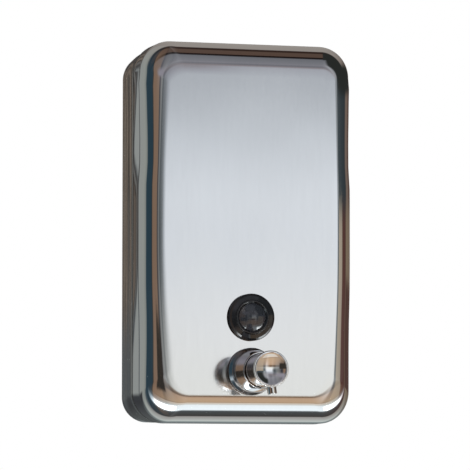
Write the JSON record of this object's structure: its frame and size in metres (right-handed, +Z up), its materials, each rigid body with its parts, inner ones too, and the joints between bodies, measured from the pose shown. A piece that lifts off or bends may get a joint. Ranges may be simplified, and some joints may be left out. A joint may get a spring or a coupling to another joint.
{
  "type": "liquid soap dispenser",
  "caption": "Wall-mounted stainless liquid soap dispenser: drawn two-part tank with rolled rim, smoked sight window, chrome push valve with spout and lockable filler lid.",
  "frame": {"origin": "centre of the wall plate's back face, at half the height of the tank", "axes": "+X to the right of someone facing the dispenser, +Y from its face to the wall, +Z up"},
  "size_m": [0.118, 0.1101, 0.2081],
  "materials": {
    "satin_steel": "fine satin",
    "polished_steel": "polished",
    "mill_steel": "plain rolled",
    "chrome": "bright",
    "black_rubber": "matte",
    "black_gloss": "gloss",
    "smoked_lens": "clear, smoked",
    "pump_plastic": "satin",
    "spring_steel": "drawn wire"
  },
  "bodies": {
    "case": {"wall_plate": "mill_steel", "rear_hanger": "mill_steel", "rear_shell": "polished_steel", "seam_gasket": "black_rubber", "front_shell": "satin_steel", "filler_frame": "polished_steel", "lid_hinge_leaf": "polished_steel", "lid_hinge_pin": "mill_steel", "window_bezel": "black_gloss", "window_lens": "smoked_lens", "window_gasket": "black_rubber", "window_washer": "black_rubber", "window_nut": "mill_steel", "valve_escutcheon": "chrome", "valve_sleeve": "chrome", "valve_gasket_outer": "black_rubber", "valve_gasket_inner": "black_rubber", "valve_nut": "mill_steel", "pump_cylinder": "pump_plastic", "stem_guide": "pump_plastic", "stem_wiper": "black_rubber", "return_spring": "spring_steel", "cylinder_cap": "pump_plastic", "inlet_seat": "pump_plastic", "dip_tube": "pump_plastic"},
    "button": {"push_button": "chrome", "button_cap": "chrome", "spout_nozzle": "chrome", "stem": "pump_plastic", "piston": "pump_plastic", "piston_seal": "black_rubber", "outlet_spring": "spring_steel"},
    "outlet_ball": {"outlet_ball": "spring_steel"},
    "inlet_ball": {"inlet_ball": "spring_steel"},
    "lid": {"filler_lid": "satin_steel", "lid_gasket": "black_rubber", "lock_housing": "mill_steel"},
    "lock": {"lock_barrel": "chrome", "lock_cam": "mill_steel", "cam_screw": "mill_steel"}
  },
  "joints": [
    {"name": "button_push", "type": "slide", "parent": "case", "child": "button", "axis": [0, 1, 0], "range_m": [0, 0.011], "stiffness_N_per_m": 400, "springref_m": -0.006, "deforming": ["return_spring"]},
    {"name": "outlet_ball_lift", "type": "slide", "parent": "button", "child": "outlet_ball", "axis": [0, -1, 0], "range_m": [0, 0.001], "stiffness_N_per_m": 30, "springref_m": -0.001, "deforming": ["outlet_spring"]},
    {"name": "inlet_ball_lift", "type": "slide", "parent": "case", "child": "inlet_ball", "axis": [0, 0, 1], "range_m": [0, 0.0013]},
    {"name": "lid_swing", "type": "hinge", "parent": "case", "child": "lid", "pos_m": [0, -0.0153, 0.1038], "axis": [-1, 0, 0], "range_deg": [0, 100]},
    {"name": "lock_turn", "type": "hinge", "parent": "lid", "child": "lock", "pos_m": [0, -0.0305, 0.1], "axis": [0, 0, -1], "range_deg": [0, 90]}
  ]
}
